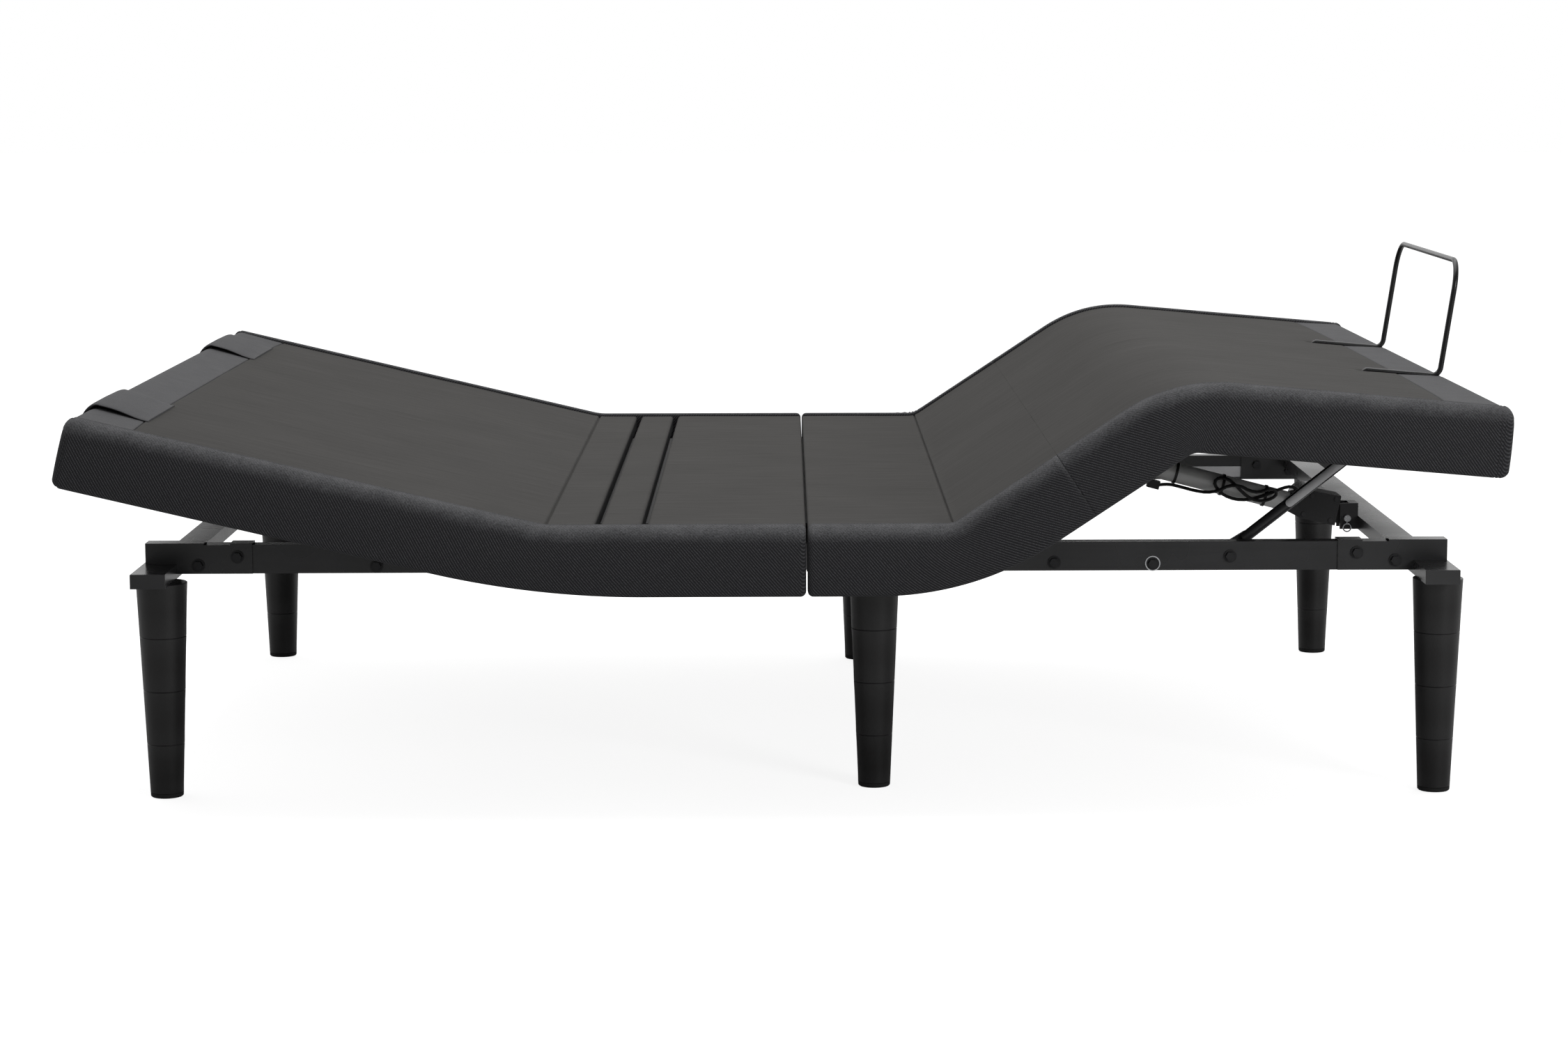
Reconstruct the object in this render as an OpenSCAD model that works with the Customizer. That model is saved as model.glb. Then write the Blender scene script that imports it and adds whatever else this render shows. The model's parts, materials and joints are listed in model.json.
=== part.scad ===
// Adjustable bed base: steel frame on six segmented legs, a split upholstered
// deck that folds at the back, the hips and the knees, and two linear actuators.
// X runs from the head end to the foot end, Y across the bed, Z up from the floor.

/* [Deck] */
// Overall width of the deck
deck_w = 1512; // [1400:1:1560]
// Length of the back section
head_len = 657; // [640:1:670]
// Length of the thigh section
thigh_len = 357; // [350:1:362]
// Length of the calf section
calf_len = 449; // [440:1:470]
// Top of the deck boards above the floor when flat
board_top = 396; // [394:1:398]
// Thickness of the deck boards
board_t = 15; // [12:1:15]
// Thickness of the foam rails round the edge
foam_t = 35; // [30:1:36]
// Lower edge of the foam rails above the floor when flat
foam_bottom = 308; // [306:1:312]
// Upper edge of the foam rails above the floor when flat
foam_top = 402; // [400:1:404]

/* [Pose] */
// Rise of the back section from flat, in degrees
head_angle = 13.3; // [12:0.1:14]
// Rise of the thigh section from flat, in degrees
thigh_angle = 33.5; // [33:0.1:34]
// Fall of the calf section towards the foot end, in degrees
calf_angle = 5; // [4:0.1:6]

/* [Frame] */
// Height of the side rails
rail_h = 41; // [40:1:42]
// Width of the side rails
rail_w = 25; // [24:1:26]
// Wall of the steel tubes
wall = 2; // [1.5:0.5:2.5]
// Bottom of the side rails above the floor
rail_z = 311; // [310:1:312]
// Distance of each side rail from the centre line
rail_y = 525; // [524:1:526]

/* [Legs] */
// Height of a leg
leg_h = 304.8; // [300:0.1:305]
// Radius of a leg at the top
leg_r_top = 35.5; // [34:0.5:36]
// Radius of a leg at the bottom
leg_r_bottom = 22.8; // [20:0.1:26]

/* [Actuators] */
// Radius of an outer tube
tube_r = 15; // [14:0.5:15]
// Radius of an inner rod
rod_r = 10; // [9:0.5:10.5]

/* [Hidden] */
half_w = deck_w / 2;
board_y = half_w - foam_t;
board_z = board_top - board_t;
pin_z = 368;
head_pin_x = -330;
thigh_pin_x = 240;
knee_x = thigh_pin_x + thigh_len;
head_end_x = head_pin_x - head_len;
foot_end_x = knee_x + calf_len;
split_x = 30;
pin_r = 5;
weld = 0.2;
bore_r = 5.05;
tube = 26;
tube_z = pin_z - tube / 2;
rail_top = rail_z + rail_h;
rail_out = rail_y + rail_w / 2;
rail_in = rail_y - rail_w / 2;
plate = 2.5;
head_arm_x = -880;
foot_arm_x = 917;
head_leg_x = -872;
foot_leg_x = 922;
mid_leg_x = 127;
leg_y = 574;
arm_w = 48;
arm_h = 20;
seg_h = leg_h / 4;
glide_h = 6;
crank_x = 300;
crank_z = 323;
crank_arm = 250;
crank_deg = 48.96;
lever_r = 180.34;
lever_deg = 49;
head_lever_r = 120;
head_lever_deg = 34;
link_x = 632;
link_z = 331;
link_len = 339.5;
link_deg = 35.37;
link_bend = 2.8;
link_s = 373;
foot_pin = [841, 349];
foot_act_y = -251;
foot_act_deg = 14.6;
foot_act_len = 436.79;
head_pin = [85, 300];
head_act_y = 200;
head_act_deg = -6.774;
head_act_len = 375.2;
rod_len = 256;
tongue_len = 42;
lever_slot_r = 8.8;
knee_relief = 24.8;
bolt_flange_r = 9.2;
bolt_hex_r = 7;
gear_u0 = 16;
gear_u1 = 90;
tube_u1 = 296;
prong_x = 924;
prong_y = 250;
bar_r = 4;
bolt_rows = [[-826, 323], [-771, 335], [-576, 321], [-250, 331], [382, 323], [522, 321],
    [812, 336], [867, 325]];
lead_route = [[80.3, 18], [83.3, 23.2], [94, 25], [106, 19], [120, 8], [136, -3], [152, -11],
    [170, -15], [188, -13], [201, -6], [207, 3], [202, 11], [190, 13], [176, 7], [162, -2],
    [147, -8], [130, -7], [117, 1], [112, 9], [118, 15], [128, 13], [140, 5], [154, 4],
    [170, 8], [186, 4], [200, -8], [214, -15], [232, -17.5], [250, -18], [266, -18], [276, -20],
    [283.8, -23]];

// ---------- placing helpers ----------

// Both sides of the bed: the child is drawn at +Y and mirrored to -Y
module both_sides() {
    children();
    mirror([0, 1, 0])
    children();
}

// Turns a shape drawn flat about a cross axis at (x, z)
module turned(x, z, a) {
    translate([x, 0, z])
    rotate([0, a, 0])
    translate([-x, 0, -z])
    children();
}

module on_head() {
    turned(head_pin_x, pin_z, head_angle)
    children();
}

module on_thigh() {
    turned(thigh_pin_x, pin_z, -thigh_angle)
    children();
}

module on_calf() {
    on_thigh()
    turned(knee_x, pin_z, thigh_angle + calf_angle)
    children();
}

// Box from its low corner to its high corner
module box(a, b) {
    translate(a)
    cube(b - a);
}

// Cylinder along Y from y0 to y1
module y_rod(x, z, y0, y1, r) {
    translate([x, y1, z])
    rotate([90, 0, 0])
    cylinder(r = r, h = y1 - y0, $fn = 40);
}

// Outline in the X-Z plane, given a thickness from y0 to y1
module y_plate(y0, y1) {
    translate([0, y1, 0])
    rotate([90, 0, 0])
    linear_extrude(height = y1 - y0)
    children();
}

// Square-cornered tube along X, open at its ends
module x_tube(x0, x1, y, z, w, h) {
    difference() {
        box([x0, y - w / 2, z], [x1, y + w / 2, z + h]);
        box([x0 - 1, y - w / 2 + wall, z + wall], [x1 + 1, y + w / 2 - wall, z + h - wall]);
    }
}

// Square-cornered tube along Y, open at its ends
module y_tube(x0, x1, y0, y1, z, h) {
    difference() {
        box([x0, y0, z], [x1, y1, z + h]);
        box([x0 + wall, y0 - 1, z + wall], [x1 - wall, y1 + 1, z + h - wall]);
    }
}

// Holes across both side rails for the frame bolts
module bolt_holes(r = 4.2) {
    for (p = bolt_rows)
        y_rod(p[0], p[1], rail_in - 20, rail_out + 20, r);
}

// ---------- steel base frame ----------

module rail_head_left() {
    color("#232324")
    difference() {
        x_tube(-850, split_x - 1, rail_y, rail_z, rail_w, rail_h);
        bolt_holes();
        y_rod(0, rail_z + rail_h / 2, rail_in - 1, rail_out + 1, 4.2);
    }
}

module rail_head_right() {
    mirror([0, 1, 0])
    rail_head_left();
}

module rail_foot_left() {
    color("#232324")
    difference() {
        x_tube(split_x + 1, 887, rail_y, rail_z, rail_w, rail_h);
        bolt_holes();
        y_rod(crank_x, crank_z, rail_in - 1, rail_out + 1, 6.2);
        y_rod(link_x, link_z, rail_in - 1, rail_out + 1, 6.2);
        y_rod(60, rail_z + rail_h / 2, rail_in - 1, rail_out + 1, 4.2);
    }
}

module rail_foot_right() {
    mirror([0, 1, 0])
    rail_foot_left();
}

// Sleeves inside the rails that join the two halves of the bed
module rail_splices() {
    color("#5a5a5c")
    both_sides()
    difference() {
        x_tube(split_x - 80, split_x + 80, rail_y, rail_z + 2.2, rail_w - 4.4, rail_h - 4.4);
        y_rod(0, rail_z + rail_h / 2, rail_in - 1, rail_out + 1, 4.2);
        y_rod(60, rail_z + rail_h / 2, rail_in - 1, rail_out + 1, 4.2);
    }
}

module crossmember(x0, x1, z, h) {
    color("#2a2a2b")
    y_tube(x0, x1, -rail_in + plate, rail_in - plate, z, h);
}

module crossmember_head() {
    crossmember(-860, -818, 332, 20);
}

module crossmember_foot() {
    crossmember(858, 900, 332, 20);
}

module crossmember_mid_head() {
    color("#2a2a2b")
    y_tube(-60, -20, -rail_in, rail_in, rail_z, rail_h);
}

// The middle crossmember of the foot half carries the pads of the middle legs
module crossmember_mid_foot() {
    color("#2a2a2b") {
        y_tube(107, 147, -rail_in, rail_in, rail_z, rail_h);
        both_sides()
        difference() {
            box([85, rail_y - 36, leg_h], [169, rail_y + 30, rail_z]);
            translate([mid_leg_x, rail_y, leg_h - 1])
            cylinder(r = 6.1, h = 10, $fn = 40);
        }
    }
}

// Folded sheet saddle over a rail end: outer cheek, inner cheek and a top with a window
module saddle(x0, x1, w0, w1, notch0, notch1) {
    difference() {
        box([x0, rail_in - plate, rail_z], [x1, rail_out + plate, rail_top + plate]);
        box([x0 - 1, rail_in, rail_z - 1], [x1 + 1, rail_out, rail_top]);
        box([w0, rail_in - plate - 1, rail_top - 0.01], [w1, rail_out + plate + 1, rail_top + plate + 1]);
        box([notch0, rail_in - plate - 1, rail_z - 1], [notch1, rail_out + plate + 1, leg_h + arm_h]);
        bolt_holes();
    }
}

module saddle_brackets() {
    color("#202021")
    both_sides() {
        saddle(-900, -750, -818, -781, head_arm_x - arm_w / 2, head_arm_x + arm_w / 2);
        saddle(785, 941, 820, 858, foot_arm_x - arm_w / 2, foot_arm_x + arm_w / 2);
    }
}

// Rectangular arms that carry the corner legs outside the rails
module outrigger_arms() {
    color("#262627")
    both_sides()
    for (p = [[head_arm_x, head_leg_x], [foot_arm_x, foot_leg_x]])
        difference() {
            y_tube(p[0] - arm_w / 2, p[0] + arm_w / 2, rail_in - 14, 636, leg_h, arm_h);
            translate([p[1], leg_y, leg_h - 1])
            cylinder(r = 6.1, h = wall + 2, $fn = 40);
        }
}

// Plastic plugs with a flat face in the arm ends
module arm_end_caps() {
    color("#3a3a3b")
    both_sides()
    for (x = [head_arm_x, foot_arm_x]) {
        box([x - arm_w / 2, 636, leg_h], [x + arm_w / 2, 640, leg_h + arm_h]);
        box([x - arm_w / 2 + wall + 0.1, 622, leg_h + wall + 0.1],
            [x + arm_w / 2 - wall - 0.1, 636, leg_h + arm_h - wall - 0.1]);
    }
}

// ---------- legs ----------

function leg_places() = [for (s = [-1, 1]) for (p = [[head_leg_x, leg_y], [mid_leg_x, rail_y],
    [foot_leg_x, leg_y]]) [p[0], s * p[1]]];

function leg_r(z) = leg_r_bottom + (leg_r_top - leg_r_bottom) * z / leg_h;

// One tapered segment with a small bevel at each joint and a threaded bore
module leg_segment(i) {
    z0 = max(i * seg_h, glide_h);
    z1 = (i + 1) * seg_h;
    bevel = 0.7;
    color("#2b2b2c")
    for (p = leg_places())
        translate([p[0], p[1], 0])
        difference() {
            rotate_extrude($fn = 72)
            polygon([[0, z0], [leg_r(z0) - bevel, z0], [leg_r(z0 + bevel), z0 + bevel],
                [leg_r(z1 - bevel), z1 - bevel], [leg_r(z1) - bevel, z1], [0, z1]]);
            translate([0, 0, z0 - 1])
            cylinder(r = 6.1, h = z1 - z0 + 2, $fn = 40);
        }
}

module leg_bottom_segments() {
    leg_segment(0);
}

module leg_lower_segments() {
    leg_segment(1);
}

module leg_upper_segments() {
    leg_segment(2);
}

module leg_top_segments() {
    leg_segment(3);
}

// Threaded rods through the four segments into the arms and pads
module leg_studs() {
    color("silver")
    for (p = leg_places())
        translate([p[0], p[1], glide_h])
        cylinder(r = 6, h = leg_h + 4 - glide_h, $fn = 40);
}

module leg_glides() {
    color("#1b1b1b")
    for (p = leg_places())
        translate([p[0], p[1], 0])
        rotate_extrude($fn = 72)
        polygon([[0, 0], [leg_r_bottom - 1.5, 0], [leg_r_bottom, 1.5], [leg_r(glide_h), glide_h],
            [0, glide_h]]);
}

// ---------- fasteners ----------

// Flanged hex head outside the rail, shank through it and a nut inside
module flange_bolt(x, z, y0, y1, r) {
    y_rod(x, z, y0, y1, r);
    y_rod(x, z, y1, y1 + 1.8, bolt_flange_r);
    translate([x, y1 + 1.8, z])
    rotate([-90, 0, 0])
    cylinder(r = bolt_hex_r, h = 4.6, $fn = 6);
}

module frame_bolts() {
    color("#2e2e2f")
    both_sides() {
        for (p = bolt_rows) {
            saddle_bolt = p[0] < -700 || p[0] > 700;
            face = rail_out + (saddle_bolt ? plate : 0) + (p[0] == 522 ? 1.2 : 0);
            flange_bolt(p[0], p[1], rail_in - (saddle_bolt ? plate : 0) - 3, face, 4);
            translate([p[0], rail_in - (saddle_bolt ? plate : 0) - 7, p[1]])
            rotate([-90, 0, 0])
            cylinder(r = 7.5, h = 6.5, $fn = 6);
        }
        for (x = [0, 60])
            flange_bolt(x, rail_z + rail_h / 2, rail_in - 3, rail_out, 4);
        flange_bolt(crank_x, crank_z, rail_in - 34, rail_out, 6);
        flange_bolt(link_x, link_z, 484, rail_out, 6);
    }
}

// Bright washer under one bolt head on each side
module bolt_washers() {
    color("gainsboro")
    both_sides()
    difference() {
        y_rod(522, 321, rail_out, rail_out + 1.2, 10.8);
        y_rod(522, 321, rail_out - 1, rail_out + 2, 4.1);
    }
}

// Upright lugs on the inner faces of the rails that hold the deck hinges
module hinge_brackets() {
    color("#262627")
    both_sides()
    for (x = [head_pin_x, thigh_pin_x])
        difference() {
            y_plate(rail_in - 4, rail_in)
            union() {
                translate([x - 18, rail_z + 4])
                square([36, pin_z - rail_z - 4]);
                translate([x, pin_z])
                circle(r = 11, $fn = 48);
            }
            y_rod(x, pin_z, rail_in - 6, rail_in + 2, bore_r);
        }
}

module hinge_pins() {
    color("silver")
    both_sides()
    for (x = [head_pin_x, thigh_pin_x]) {
        y_rod(x, pin_z, 479, rail_in, pin_r);
        y_rod(x, pin_z, rail_in, rail_in + 5, 8);
    }
}

// Two ears with bores and a folded top, welded to a crossmember face at face_x.
module clevis(p, y, face_x, z0, z1) {
    difference() {
        union() {
            for (s = [-1, 1])
                box([p[0] - 10, y + s * 16 - 2, z0], [face_x, y + s * 16 + 2, z1]);
            box([p[0] + 4, y - 18, z1 - 3], [face_x, y + 18, z1]);
            box([face_x - 3, y - 18, z0], [face_x, y + 18, z1]);
        }
        y_rod(p[0], p[1], y - 20, y + 20, bore_r);
    }
}

module clevis_brackets() {
    color("#1c1c1d") {
        clevis(foot_pin, foot_act_y, 858, 332, 371);
        clevis(head_pin, head_act_y, 107, 284, 350);
    }
}

module clevis_pins() {
    color("silver")
    for (q = [[foot_pin, foot_act_y], [head_pin, head_act_y]]) {
        y_rod(q[0][0], q[0][1], q[1] - 27, q[1] + 20, pin_r);
        y_rod(q[0][0], q[0][1], q[1] + 20, q[1] + 23, 9);
    }
}

// Spring clip round the end of each clevis pin
module hairpin_clips() {
    color("gainsboro")
    for (q = [[foot_pin, foot_act_y], [head_pin, head_act_y]])
        translate([q[0][0], q[1] - 23, q[0][1] - 14])
        rotate([90, 0, 0]) {
            rotate_extrude($fn = 48)
            translate([6, 0])
            circle(r = 1, $fn = 16);
            translate([0, 4.5, 0])
            rotate([-90, 0, 0])
            cylinder(r = 1, h = 4, $fn = 16);
        }
}

// Control box under the seat with its connector sockets
module control_box() {
    color("#1e1e1f")
    difference() {
        box([-190, -170, 305], [-70, 60, 351.8]);
        for (y = [-140, -90, -40, 10])
            box([-72, y, 316], [-69, y + 26, 336]);
    }
}

// ---------- seat ----------

// Tubes across the rails that carry the seat boards. Three of them close the gaps between
// the boards from below.
module seat_bearers() {
    color("#2a2a2b")
    for (x = [-300, -269, -205, -90, 17, 120, 188])
        y_tube(x, x + tube, -540, 540, rail_top, board_z - rail_top);
}

module board(x0, x1) {
    box([x0, -board_y, board_z], [x1, board_y, board_top]);
}

module seat_board_head() {
    color("#8a7a66")
    board(-188, split_x - 2);
}

module seat_board_foot() {
    color("#8a7a66")
    board(split_x + 2, 227.4);
}

module lumbar_slats() {
    color("#8a7a66") {
        board(-311, -260);
        board(-252, -196);
    }
}

// Side view of a foam rail. At an end that folds, the edge leans back above the pin
// by "over" or below it by "under", both in degrees.
module foam_rail(x0, x1, over0, under0, over1, under1, play = 0.5) {
    up = foam_top - pin_z;
    down = pin_z - foam_bottom;
    both_sides()
    y_plate(board_y, half_w)
    polygon([[x0 + play, pin_z], [x0 + play + up * tan(over0), foam_top],
        [x1 - play - up * tan(over1), foam_top], [x1 - play, pin_z],
        [x1 - play - down * tan(under1), foam_bottom],
        [x0 + play + down * tan(under0), foam_bottom]]);
}

module seat_foam_head() {
    color("#3a3c42")
    foam_rail(head_pin_x, split_x, 30.5, 0, 0, 0);
}

module seat_foam_foot() {
    color("#3a3c42")
    foam_rail(split_x, thigh_pin_x, 0, 0, 21, 0);
}

// ---------- back section ----------

module head_board() {
    color("#8a7a66")
    on_head()
    board(head_end_x + foam_t, head_pin_x - 15);
}

module head_frame() {
    inner = rail_in - 32.5;
    color("#2a2a2b")
    on_head()
    difference() {
        union() {
            both_sides()
            box([head_end_x + 60, inner, tube_z], [head_pin_x + 14, inner + tube, tube_z + tube]);
            for (x = [head_end_x + 60, -640, -375])
                box([x, weld - inner, tube_z], [x + tube, inner - weld, tube_z + tube]);
            for (s = [-1, 1])
                y_plate(head_act_y + s * 12 - 2, head_act_y + s * 12 + 2)
                head_lever_outline();
        }
        y_rod(head_pin_x, pin_z, -inner - tube - 1, inner + tube + 1, bore_r);
        slot_hole(head_pin_x, pin_z, head_lever_deg - 90, head_lever_r - 8, head_lever_r + 14,
            head_act_y, 8);
    }
}

// Lever plate from the first cross tube down to the actuator pin
module head_lever_outline() {
    a = head_lever_deg;
    tip = [head_pin_x + (head_lever_r + 4) * sin(a), pin_z - (head_lever_r + 4) * cos(a)];
    hull() {
        translate([head_pin_x - 45, tube_z - 2])
        square([26, 15]);
        translate(tip)
        circle(r = 24, $fn = 32);
    }
}

// Straight slot along a lever, from r0 to r1 out from the axis at (x, z)
module slot_hole(x, z, deg, r0, r1, y, r) {
    translate([x, 0, z])
    rotate([0, -deg, 0]) {
        for (q = [r0, r1])
            y_rod(q, 0, y - 20, y + 20, r);
        box([r0, y - 20, -r], [r1, y + 20, r]);
    }
}

// Foam round three sides of a section: two side rails and a block across the end
module end_foam(x0, x1) {
    box([x0, -board_y + 0.3, foam_bottom + 4], [x1, board_y - 0.3, board_top]);
}

module head_foam() {
    color("#3a3c42")
    on_head() {
        foam_rail(head_end_x, head_pin_x, 0, 0, 30.5, 0);
        end_foam(head_end_x + 0.5, head_end_x + foam_t - 0.3);
    }
}

// Two fabric bands that cross the head end band
module head_straps() {
    color("#4c4e54")
    on_head()
    both_sides()
    box([head_end_x + 12, 310, board_top + 0.3], [head_end_x + 104, 569, board_top + 6]);
}

// ---------- thigh section ----------

module thigh_board() {
    color("#8a7a66")
    on_thigh()
    board(thigh_pin_x + 12, knee_x - 30);
}

module thigh_frame() {
    inner = rail_in - 32.5;
    color("#2a2a2b")
    on_thigh()
    difference() {
        union() {
            both_sides() {
                box([thigh_pin_x - 14, inner, tube_z], [knee_x + 16, inner + tube, tube_z + tube]);
                box([thigh_pin_x + 51, 398, board_z - 3], [knee_x - 41, 428, board_z]);
            }
            box([thigh_pin_x + 24, weld - inner, tube_z],
                [thigh_pin_x + 24 + tube, inner - weld, tube_z + tube]);
            box([knee_x - 39, weld - inner, board_z - 5], [knee_x - 22, inner - weld, board_z]);
        }
        y_rod(thigh_pin_x, pin_z, -inner - tube - 1, inner + tube + 1, bore_r);
        both_sides()
        y_rod(knee_x, pin_z, inner - 0.5, inner + tube + 1, bore_r);
    }
}

module thigh_foam() {
    color("#3a3c42")
    on_thigh()
    foam_rail(thigh_pin_x, knee_x, 21, 0, 0, knee_relief);
}

module knee_pins() {
    color("silver")
    on_thigh()
    both_sides() {
        y_rod(knee_x, pin_z, 449, rail_in - 6, pin_r);
        y_rod(knee_x, pin_z, rail_in - 6, rail_in - 3, 8);
    }
}

// ---------- calf section ----------

module calf_board() {
    color("#8a7a66")
    on_calf()
    difference() {
        board(knee_x + 30, foot_end_x - foam_t);
        for (y = [-prong_y, prong_y])
            translate([prong_x, y, board_z - 1])
            cylinder(r = bar_r + 0.8, h = board_t + 2, $fn = 40);
    }
}

module calf_frame() {
    tube_y = 451;
    color("#2a2a2b")
    on_calf()
    difference() {
        union() {
            both_sides() {
                box([knee_x - 16, tube_y, tube_z], [foot_end_x - 50, tube_y + tube, tube_z + tube]);
                link_lug(tube_y + tube);
            }
            box([knee_x + 20, weld - tube_y, board_z - 5], [knee_x + 38, tube_y - weld, board_z]);
            for (x = [prong_x - tube / 2, foot_end_x - 50 - tube])
                box([x, weld - tube_y, tube_z], [x + tube, tube_y - weld, tube_z + tube]);
        }
        both_sides()
        y_rod(knee_x, pin_z, tube_y - 1, tube_y + tube + 1, bore_r);
        for (y = [-prong_y, prong_y])
            translate([prong_x, y, tube_z - 1])
            cylinder(r = bar_r + 0.8, h = tube + 2, $fn = 40);
    }
}

// Plate on the side of a tube, with a short slot for the pin of a calf link
module link_lug(y) {
    x = knee_x + link_s;
    z = pin_z - 5;
    difference() {
        box([x - 24, y, tube_z], [x + 24, y + 6, tube_z + tube]);
        for (d = [-4.4, 4])
            y_rod(x + d, z + 0.4, y + weld, y + 7, 6.5);
        box([x - 4.4, y + weld, z - 6.1], [x + 4, y + 7, z + 6.9]);
    }
}

module calf_foam() {
    color("#3a3c42")
    on_calf() {
        foam_rail(knee_x, foot_end_x, 0, knee_relief, 0, 0);
        end_foam(foot_end_x - foam_t + 0.3, foot_end_x - 0.5);
    }
}

// Bent round bar that keeps the mattress from sliding off the foot end
module retainer_bar() {
    lie_z = board_top + 5;
    nook = 5;
    rise = 174;
    lean = 3.5;
    bend = 14;
    corner = 42;
    stand_x = foot_end_x - 8;
    color("#252526")
    on_calf() {
        both_sides() {
            translate([prong_x, prong_y, tube_z - 6])
            cylinder(r = bar_r, h = lie_z - nook - tube_z + 6, $fn = 32);
            elbow([prong_x + nook, prong_y, lie_z - nook], [90, 0, 0], nook, 90, 90);
            translate([prong_x + nook, prong_y, lie_z])
            rotate([0, 90, 0])
            cylinder(r = bar_r, h = stand_x - bend - prong_x - nook, $fn = 32);
            elbow([stand_x - bend, prong_y, lie_z + bend], [90, 0, 0], bend, 270, 90 - lean);
        }
        translate([stand_x - bend, 0, lie_z + bend])
        rotate([0, lean, 0]) {
            both_sides() {
                translate([bend, prong_y, 0])
                cylinder(r = bar_r, h = rise - corner - bend, $fn = 32);
                elbow([bend, prong_y - corner, rise - corner - bend], [0, -90, 0], corner, 0, 90);
            }
            y_rod(bend, rise - bend, -prong_y + corner, prong_y - corner, bar_r);
        }
    }
}

// Part of a ring of radius r about the point c, swept from a by da degrees
module elbow(c, turn, r, a, da) {
    translate(c)
    rotate(turn)
    rotate([0, 0, a])
    rotate_extrude(angle = da, $fn = 48)
    translate([r, 0])
    circle(r = bar_r, $fn = 32);
}

// ---------- lifting gear ----------

// Cross tube on the rails with two roller arms and a slotted lever
module thigh_crank() {
    tube_out = 16;
    color("#2a2a2b") {
        difference() {
            y_rod(crank_x, crank_z, -505, 505, tube_out);
            y_rod(crank_x, crank_z, -510, 510, 6.06);
        }
        difference() {
            union() {
                turned(crank_x, crank_z, -crank_deg)
                for (s = [-1, 1])
                    y_plate(s * 392 - 4, s * 392 + 4)
                    arm_outline(crank_arm, 24, 11);
                turned(crank_x, crank_z, -lever_deg)
                for (s = [-1, 1])
                    y_plate(foot_act_y + s * 12 - 2, foot_act_y + s * 12 + 2)
                    arm_outline(lever_r + 2, 24, 26);
                turned(crank_x, crank_z, -crank_deg)
                both_sides()
                y_rod(crank_x + crank_arm, crank_z, 396, 424, 4);
            }
            y_rod(crank_x, crank_z, -510, 510, tube_out + weld);
            slot_hole(crank_x, crank_z, lever_deg, lever_r - 11, lever_r + 17, foot_act_y,
                lever_slot_r);
        }
    }
}

module arm_outline(len, r0, r1) {
    hull() {
        translate([crank_x, crank_z])
        circle(r = r0, $fn = 32);
        translate([crank_x + len, crank_z])
        circle(r = r1, $fn = 32);
    }
}

// Rollers that turn on the stub axles of the arms and push up the thigh section
module crank_rollers() {
    color("#d8d8d2")
    turned(crank_x, crank_z, -crank_deg)
    both_sides()
    difference() {
        y_rod(crank_x + crank_arm, crank_z, 397, 420, 11);
        y_rod(crank_x + crank_arm, crank_z, 396, 421, 4.06);
    }
}

// Round bar from the rail up to the calf section, with flat eyes at its ends. It runs a
// little above the line between its pins so that it clears the foot crossmember.
module calf_link_left() {
    y = 488;
    run = link_len * 0.8;
    color("#1d1d1e")
    turned(link_x, link_z, -link_deg)
    difference() {
        union() {
            turned(link_x, link_z, -link_bend)
            translate([link_x + 30, y + 6, link_z])
            rotate([0, 90, 0])
            cylinder(r = 8, h = run - 30, $fn = 40);
            y_plate(y, y + 7)
            link_eye(link_x, link_z, link_x + 36 * cos(link_bend), link_z + 36 * sin(link_bend));
            y_plate(y, y + 7)
            link_eye(link_x + link_len, link_z, link_x + (run - 4) * cos(link_bend),
                link_z + run * sin(link_bend));
            y_rod(link_x + link_len, link_z, 477.6, y + 10, 5);
        }
        y_rod(link_x, link_z, y - 10, y + 20, 6.06);
    }
}

// Outline of an eye that tapers into the bar
module link_eye(x0, z0, x1, z1) {
    hull() {
        translate([x0, z0])
        circle(r = 12, $fn = 32);
        translate([x1, z1])
        circle(r = 8, $fn = 32);
    }
}

module calf_link_right() {
    mirror([0, 1, 0])
    calf_link_left();
}

// ---------- actuators ----------

// Puts a shape drawn along +X from the clevis pin in place for one actuator
module act_place(p, y, deg, flip) {
    translate([p[0], y, p[1]])
    rotate([0, deg, 0])
    mirror([1, 0, 0])
    mirror([0, 0, flip ? 1 : 0])
    children();
}

module on_foot_act() {
    act_place(foot_pin, foot_act_y, foot_act_deg, false)
    children();
}

module on_head_act() {
    act_place(head_pin, head_act_y, head_act_deg, true)
    children();
}

// Two-part moulded gear housing with a tongue for the clevis pin and corner screws
module gearbox() {
    difference() {
        union() {
            y_plate(-27, 27)
            polygon([[gear_u0 + 2, 30], [gear_u1 - 26, 27], [gear_u1, 12], [gear_u1, -12],
                [gear_u1 - 22, -17], [gear_u0, -15]]);
            y_plate(-10, 10)
            union() {
                circle(r = 12, $fn = 48);
                translate([0, -12])
                square([gear_u0 + 1, 24]);
            }
            for (q = [[24, 24], [60, 20], [24, -9], [66, -10]])
                y_rod(q[0], q[1], -28.5, -26, 3.5);
        }
        y_rod(0, 0, -30, 30, bore_r);
        translate([gear_u0 + 12, 0, 0])
        rotate([0, 90, 0])
        cylinder(r = rod_r + 1, h = 100, $fn = 48);
        y_rod(50, 4, -14, 28, 9.5);
    }
}

// Motor can that stands off the side of the housing
module motor() {
    y_rod(50, 4, 27, 122, 22);
    y_rod(50, 4, 122, 126, 9);
}

module outer_tube() {
    difference() {
        union() {
            translate([gear_u1, 0, 0])
            rotate([0, 90, 0])
            cylinder(r = tube_r, h = tube_u1 - gear_u1, $fn = 64);
            translate([tube_u1 - 4, 0, 0])
            rotate([0, 90, 0])
            cylinder(r = tube_r + 1.5, h = 8, $fn = 64);
        }
        translate([gear_u1 - 1, 0, 0])
        rotate([0, 90, 0])
        cylinder(r = rod_r + 0.5, h = tube_u1 - gear_u1 + 20, $fn = 48);
    }
}

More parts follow.
